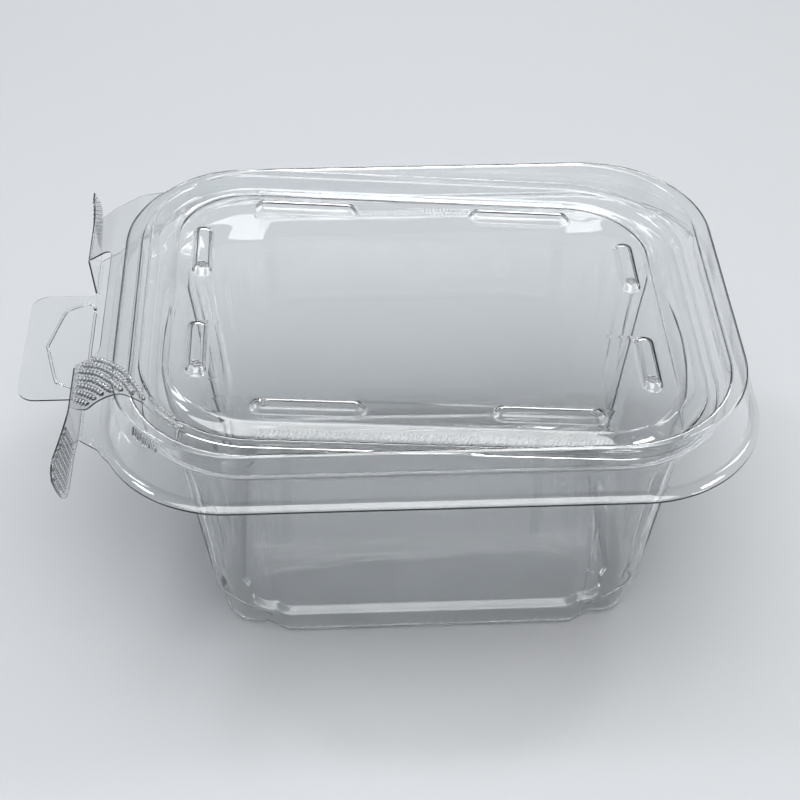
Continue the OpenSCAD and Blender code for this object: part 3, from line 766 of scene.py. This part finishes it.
front_w = [(fold_l + a * length, -UPPER_HALF - b * length) for a, b in FRONT_EDGE]
front_w = smooth_line(front_w + [(edge_x(39.6), -39.6)])
back_w = [(fold_l + a * length, UPPER_HALF + b * length) for a, b in BACK_EDGE]
back_w = smooth_line(back_w + [(edge_x(41.0), 41.0)])
run = [(edge_x(y), y) for y in np.linspace(-39.6, 41.0, 70)][1:-1]
wx = bend[0]
window = [(fold_l, WINDOW_HALF)]
for cy, a0 in ((WINDOW_HALF - WINDOW_R, 90), (-(WINDOW_HALF - WINDOW_R), 0)):
    for t in np.radians(np.linspace(a0, a0 - 90, 10)):
        window.append((wx - WINDOW_R + WINDOW_R * math.cos(t), cy + WINDOW_R * math.sin(t)))
window.append((fold_l, -WINDOW_HALF))
upper_outline = front_w + run + back_w[::-1] + window
cuts = []
for middle, half in ((root[0], 1.6), (bend[0], 1.5)):
    cuts += [float(q) for q in np.linspace(middle - half, middle + half, 9)]
obj = sheet("upper_web", upper_outline, upper_lift, web_mat, "cover", cuts_x=cuts)

# Ribbed wing: rope-like ribs that run beside the diagonal from the window corner
# and tail off on the flange.
DIAGONAL = [
    (-80.9, -18.6), (-78.6, -20.6), (-74.2, -24.6), (-70.4, -29.4),
    (-67.2, -34.6), (-65.0, -39.4), (-62.2, -43.9),
]
CORNER_X, CORNER_Y = PANEL[0] - PANEL[2], PANEL[1] - PANEL[2]
ROPE = dict(twist=1.15, depth=0.3, sides=8)


def flange_arc(rho, a0, a1, n=40):
    """Points of an arc round the lid's front corner on the hinge side."""
    a = np.radians(np.linspace(a0, a1, n))
    return [(-CORNER_X - rho * math.cos(t), -CORNER_Y - rho * math.sin(t)) for t in a]


zone = front_w + flange_arc(EDGE[2] - 0.5, 33, 60) + flange_arc(EDGE[2] - 1.9, 60, 0)
zone += [(-CORNER_X - EDGE[2] + 1.9, -15.0), (wx + 0.6, -15.0), (wx + 0.6, -WINDOW_HALF + WINDOW_R)]
zone += [(wx - WINDOW_R, -WINDOW_HALF - 0.6), (fold_l + 0.6, -WINDOW_HALF - 0.6)]
diagonal = np.array(smooth_line([(x - LID_X0, y) for x, y in DIAGONAL], 0.11))
parts = []
for i in range(12):
    shift = np.array([-0.66, -0.75]) * (0.55 + 1.8 * i)
    for piece in clip_path(diagonal + shift, zone):
        piece = [q for q in piece if q[0] > fold_l + 0.6 and clear_of(front_w, q, 0.75)]
        if len(piece) > 12:
            parts.append(bead(piece, upper_lift, 0.62, **ROPE))
for rho, a0, a1 in ((EDGE[2] - 0.95, 38, 58), (EDGE[2] - 2.1, 30, 53)):
    parts.append(bead(flange_arc(rho, a0, a1, 90), upper_lift, 0.5, **ROPE))
v, f = join_parts(parts)
obj = make("wing_ribs", v * MM, f, grip_mat)
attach(obj, "cover")


def upper_dash_place(y):
    return upper_lift(np.array([fold_l + DASH_IN]), np.array([y]), 0.0)[0]


dashes("perforation_upper", WINDOW_HALF, UPPER_HALF, upper_dash_place, "cover")

# Tear strips with pull grips.
STRIP_OUT, STRIP_UP = 0.8, 11.0
STRIP_A = math.atan2(STRIP_OUT, STRIP_UP)
STRIP_L = math.hypot(STRIP_OUT, STRIP_UP)
GRIP_L = 20.0
# Outlines of the grips, as shares of their length and of the strip's height.
GRIP_FRONT = [
    (0.16, 0), (0.3, -0.04), (0.45, -0.15), (0.6, -0.27), (0.69, -0.32),
    (0.78, -0.31), (0.87, -0.18), (0.93, 0.05), (0.97, 0.27), (1, 0.55),
    (0.99, 0.74), (0.95, 0.87), (0.88, 0.96), (0.8, 0.99), (0.4, 1),
]
GRIP_BACK = [
    (0.3, 0.03), (0.55, 0.01), (0.75, 0.02), (0.88, 0.06), (0.97, 0.16), (1, 0.3),
    (0.99, 0.42), (0.95, 0.55), (0.87, 0.74), (0.78, 0.96), (0.71, 1.12),
    (0.66, 1.17), (0.6, 1.18), (0.54, 1.13), (0.44, 1.05), (0.3, 1),
]


def strip_lift(sign, splay):
    def lift(y, v, h):
        out = np.clip(y - FOLD_HALF, 0, None)
        t = out / GRIP_L
        back = splay * t ** 1.35
        d = splay * 1.35 * np.clip(t, 1e-6, None) ** 0.35 / GRIP_L * (out > 0)
        n = np.stack([-np.ones_like(d), -d], 1) / np.hypot(1, d)[:, None]
        h = np.broadcast_to(h, np.shape(y))
        x = -FOLD_X - v * math.sin(STRIP_A) - back + n[:, 0] * h
        yy = y + n[:, 1] * h
        return np.column_stack([x + FRAME_X, sign * yy, WEB_Z + v * math.cos(STRIP_A)])

    return lift


def strip_outline(grip):
    low, high = GAP, STRIP_L - GAP
    pts = [(WINDOW_HALF, low), (FOLD_HALF, low)]
    pts += [(FOLD_HALF + a * GRIP_L, low + b * (high - low)) for a, b in grip]
    pts += [(FOLD_HALF, high), (WINDOW_HALF, high)]
    return pts[:1] + smooth_line(pts[1:-1], 0.5) + pts[-1:]


for sign, tag, grip, splay in ((-1, "front", GRIP_FRONT, 2.6), (1, "back", GRIP_BACK, 1.0)):
    lift = strip_lift(sign, splay)
    line = strip_outline(grip)
    bends = [float(q) for q in np.arange(FOLD_HALF, FOLD_HALF + GRIP_L, 1.2)]
    obj = sheet("tear_strip_" + tag + "_film", line, lift, web_mat, "strip", cuts_x=bends)
    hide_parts("tear_strip_" + tag)
    poly = shrink([tuple(q) for q in line], 0.7)
    parts = []
    for i in range(9):
        y0 = FOLD_HALF + 2.4 + 1.75 * i
        t = np.linspace(0, 1, 160)
        path = np.stack([y0 + 5.0 * t, -4.0 + 19 * t], 1)
        for piece in clip_path(path, poly):
            parts.append(bead(piece, lift, 0.58, **ROPE))
    v, f = join_parts(parts)
    obj = make("grip_ribs_" + tag, v * MM, f, grip_mat)
    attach(obj, "strip")

# Small beads at the ends of the lid's ribs.


# Sides of a small bead, and its height as a share of its radius.
DOT_SIDES, DOT_RISE = 10, 0.7


def dots(places, radius):
    """Small domes at the places."""
    n = DOT_SIDES
    parts = []
    for c in places:
        v = []
        for a in np.radians((0, 30, 60)):
            r, h = radius * math.cos(a), radius * DOT_RISE * math.sin(a)
            for t in np.linspace(0, 2 * math.pi, n, endpoint=False):
                v.append((c[0] + r * math.cos(t), c[1] + r * math.sin(t), c[2] + h))
        v.append((c[0], c[1], c[2] + radius * DOT_RISE))
        f = []
        for i in range(2):
            for j in range(n):
                b = (j + 1) % n
                f.append((i * n + j, i * n + b, i * n + n + b, i * n + n + j))
        f += [(2 * n + j, 2 * n + (j + 1) % n, 3 * n) for j in range(n)]
        f.append(tuple(range(n - 1, -1, -1)))
        parts.append((np.array(v), f))
    return join_parts(parts)


# Radius of a bead, of the ring that six of them form, and how far they sink into the rib.
DOT_R, DOT_RING, DOT_SINK = 0.42, 0.95, 0.03
places = []
for x, y, turn, length_r in rib_places():
    end = length_r / 2 - RIB_END_LEAN * RIB_H
    if turn:
        centre = (x, y - end)
    else:
        if y > 0:
            continue
        centre = (x + math.copysign(end, x), y)
    for a in range(6):
        t = a * math.pi / 3 + 0.3
        across, along = DOT_RING * math.cos(t), DOT_RING * math.sin(t)
        places.append((centre[0] + across, centre[1] + along, RIB_H - DOT_SINK))
    places.append((centre[0], centre[1], RIB_H - DOT_SINK))
v, f = dots(places, DOT_R)
obj = make("rib_end_beads", lid_to_world(v) * MM, f, grip_mat)
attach(obj, "cover")


# Fine slanted knurl on the ledge of the base and in the moat of the lid, front and back.


def bar(a, b, width, height):
    """Low ridge from a to b, with a sloped top. Up is +Z."""
    a, b = np.array(a, float), np.array(b, float)
    t = (b - a) / np.linalg.norm(b - a)
    side = np.array([-t[1], t[0], 0]) * width / 2
    up = np.array([0, 0, height])
    v = [a - side, a + side, b + side, b - side, a + t * height * 0.6 + up, b - t * height * 0.6 + up]
    f = [(0, 3, 2, 1), (0, 4, 5, 3), (1, 2, 5, 4), (0, 1, 4), (3, 5, 2)]
    return np.array(v), f


def knurl(half, y_out, y_in, z_out, z_in, slant, pitch, width, height):
    """Row of slanted ridges from the outer to the inner line, front and back."""
    parts = []
    n = int(2 * half / pitch)
    for s in (-1, 1):
        for i in range(n + 1):
            x = -half + i * pitch
            parts.append(bar((x, s * y_out, z_out), (x + slant, s * y_in, z_in), width, height))
    return join_parts(parts)


v, f = knurl(
    half=43.0, y_out=50.0, y_in=48.7, z_out=66.0, z_in=65.55,
    slant=0.7, pitch=0.95, width=0.5, height=0.28,
)
obj = make("ledge_knurl", (v + [FRAME_X, 0, 0]) * MM, f, grip_mat, smooth=False)
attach(obj, "tub")
v, f = knurl(
    half=40.0, y_out=PANEL[1] + 4.4, y_in=PANEL[1] + 1.5, z_out=-MOAT_D, z_in=-MOAT_D + 0.72,
    slant=1.5, pitch=1.05, width=0.5, height=0.3,
)
obj = make("moat_knurl", lid_to_world(v) * MM, f, grip_mat, smooth=False)
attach(obj, "cover")

# Short crush ribs on the rim corner, under the tail of the wing.


def skirt_point(angle, z, d):
    """Point on the skirt's front corner at the hinge side, d out of the skin."""
    u = (z - LIP_Z - 0.6) / (RIM_H - EDGE_R - 0.6)
    hx, hy = LIP_X - LIP_W - LIP_STEP - LEAN * u, LIP_Y - LIP_W - LIP_STEP - LEAN * u
    r = LIP_R - 1.4 + u
    a = math.radians(angle)
    return np.array([-(hx - r) - (r + d) * math.cos(a), -(hy - r) - (r + d) * math.sin(a), z])


# Count, first angle and pitch in degrees, and heights of the crush ribs' ends.
CRUSH_COUNT, CRUSH_FROM, CRUSH_PITCH = 9, 37.5, 1.8
CRUSH_LOW, CRUSH_STAGGER, CRUSH_HIGH = 74.3, 0.25, 76.7
# Half width in degrees at the tips and along the rib, its root under the skin, and its crest.
CRUSH_TIP, CRUSH_HALF, CRUSH_ROOT, CRUSH_CREST = 0.2, 0.55, -0.1, 0.45
parts = []
for i in range(CRUSH_COUNT):
    a = CRUSH_FROM + CRUSH_PITCH * i
    low, high = CRUSH_LOW + CRUSH_STAGGER * (i % 2), CRUSH_HIGH
    rows = ((low, CRUSH_TIP), (low + 0.4, CRUSH_HALF), (high - 0.3, CRUSH_HALF), (high, CRUSH_TIP))
    v = []
    for z, half in rows:
        for da, d in ((-half, CRUSH_ROOT), (0, CRUSH_CREST), (half, CRUSH_ROOT)):
            v.append(skirt_point(a + da, z, d))
    f = []
    for r in range(3):
        for j in range(2):
            f.append((r * 3 + j, r * 3 + j + 1, r * 3 + j + 4, r * 3 + j + 3))
    f += [(r * 3 + 2, r * 3, r * 3 + 3, r * 3 + 5) for r in range(3)]
    f += [(0, 2, 1), (9, 10, 11)]
    parts.append((np.array(v), f))
v, f = join_parts(parts)
obj = make("rim_corner_ribs", (v + [FRAME_X, 0, 0]) * MM, f, base_mat)
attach(obj, "tub")


# Camera, floor and light.


def look():
    eye = Vector((-22.33 + FRAME_X, -334.12, 348.85)) * MM
    pitch, yaw, roll = (math.radians(a) for a in (42.423, 2.807, 0.432))
    fwd = Vector((math.sin(yaw) * math.cos(pitch), math.cos(yaw) * math.cos(pitch), -math.sin(pitch)))
    right = Vector((math.cos(yaw), -math.sin(yaw), 0))
    up = right.cross(fwd)
    r = math.cos(roll) * right + math.sin(roll) * up
    u = -math.sin(roll) * right + math.cos(roll) * up
    cam_data = bpy.data.cameras.new("camera")
    cam_data.sensor_width = 36.0
    cam_data.lens = 79.38
    cam_data.clip_start = 0.02
    cam = bpy.data.objects.new("camera", cam_data)
    m = Matrix((r, u, -fwd)).transposed().to_4x4()
    m.translation = eye
    cam.matrix_world = m
    bpy.context.collection.objects.link(cam)
    bpy.context.scene.camera = cam


look()


def area(name, place, aim, size, watts, colour):
    data = bpy.data.lights.new(name, "AREA")
    data.shape = "RECTANGLE"
    data.size, data.size_y = size
    data.energy = watts
    data.color = colour
    obj = bpy.data.objects.new(name, data)
    obj.location = place
    obj.rotation_euler = (Vector(aim) - Vector(place)).to_track_quat("-Z", "Y").to_euler()
    bpy.context.collection.objects.link(obj)


WHITE, COOL, COOLER, WARM = (1, 1, 1), (0.95, 0.98, 1.0), (0.9, 0.96, 1.0), (1.0, 0.97, 0.93)
STRIP_LAMP, GLINT_LAMP = (0.6, 0.12), (0.14, 0.14)
# The lid's tilted panel would mirror a lower left lamp into a side view as a white sheet.
area("lamp_over", (0.0, -0.27, 1.0), (0, -0.27, 0.0), (0.75, 1.16), 12.5, WHITE)
area("lamp_low_back", (0.05, 1.1, 0.26), (0, 0, 0.06), (0.8, 0.08), 2.5, WHITE)
area("lamp_left", (-0.85, 0.1, 0.63), (0, 0, 0.05), STRIP_LAMP, 1.8, COOLER)
area("lamp_right", (0.85, 0.05, 0.45), (0, 0, 0.05), STRIP_LAMP, 1.8, WARM)
area("glint_left", (-0.5, 0.22, 0.85), (0, 0, 0.06), GLINT_LAMP, 1.5, COOLER)
area("glint_right", (0.5, 0.22, 0.85), (0, 0, 0.06), GLINT_LAMP, 1.5, COOL)

world = bpy.data.worlds.new("studio")
bpy.context.scene.world = world
world.use_nodes = True
tree = world.node_tree
sky = tree.nodes["Background"]
coord = tree.nodes.new("ShaderNodeTexCoord")
split = tree.nodes.new("ShaderNodeSeparateXYZ")
tree.links.new(coord.outputs["Generated"], split.inputs["Vector"])
fade = tree.nodes.new("ShaderNodeMapRange")
fade.interpolation_type = "SMOOTHSTEP"
fade.inputs["From Min"].default_value = 0.05
fade.inputs["From Max"].default_value = 0.9
fade.inputs["To Min"].default_value = 0.05
fade.inputs["To Max"].default_value = 0.42
tree.links.new(split.outputs["Z"], fade.inputs["Value"])
sky.inputs["Color"].default_value = (0.95, 0.98, 1.0, 1)
tree.links.new(fade.outputs["Result"], sky.inputs["Strength"])

floor_mat, tree, shader = new_material("floor")
shader.inputs["Roughness"].default_value = 0.6
shader.inputs["Specular IOR Level"].default_value = 0.2
noise = tree.nodes.new("ShaderNodeTexNoise")
noise.inputs["Scale"].default_value = 9.0
noise.inputs["Detail"].default_value = 3.0
mix = tree.nodes.new("ShaderNodeMix")
mix.data_type = "RGBA"
mix.inputs["A"].default_value = (0.42, 0.43, 0.445, 1)
mix.inputs["B"].default_value = (0.45, 0.46, 0.475, 1)
tree.links.new(noise.outputs["Fac"], mix.inputs["Factor"])
tree.links.new(mix.outputs["Result"], shader.inputs["Base Color"])
FLOOR_HALF, FLOOR_DROP = 3, 0.0002
corners = [(i * FLOOR_HALF, j * FLOOR_HALF, -FLOOR_DROP) for i, j in ((-1, -1), (1, -1), (1, 1), (-1, 1))]
floor = make("floor", corners, [(0, 1, 2, 3)], floor_mat, smooth=False)

bpy.context.scene.view_settings.view_transform = "Standard"
write_bounds()
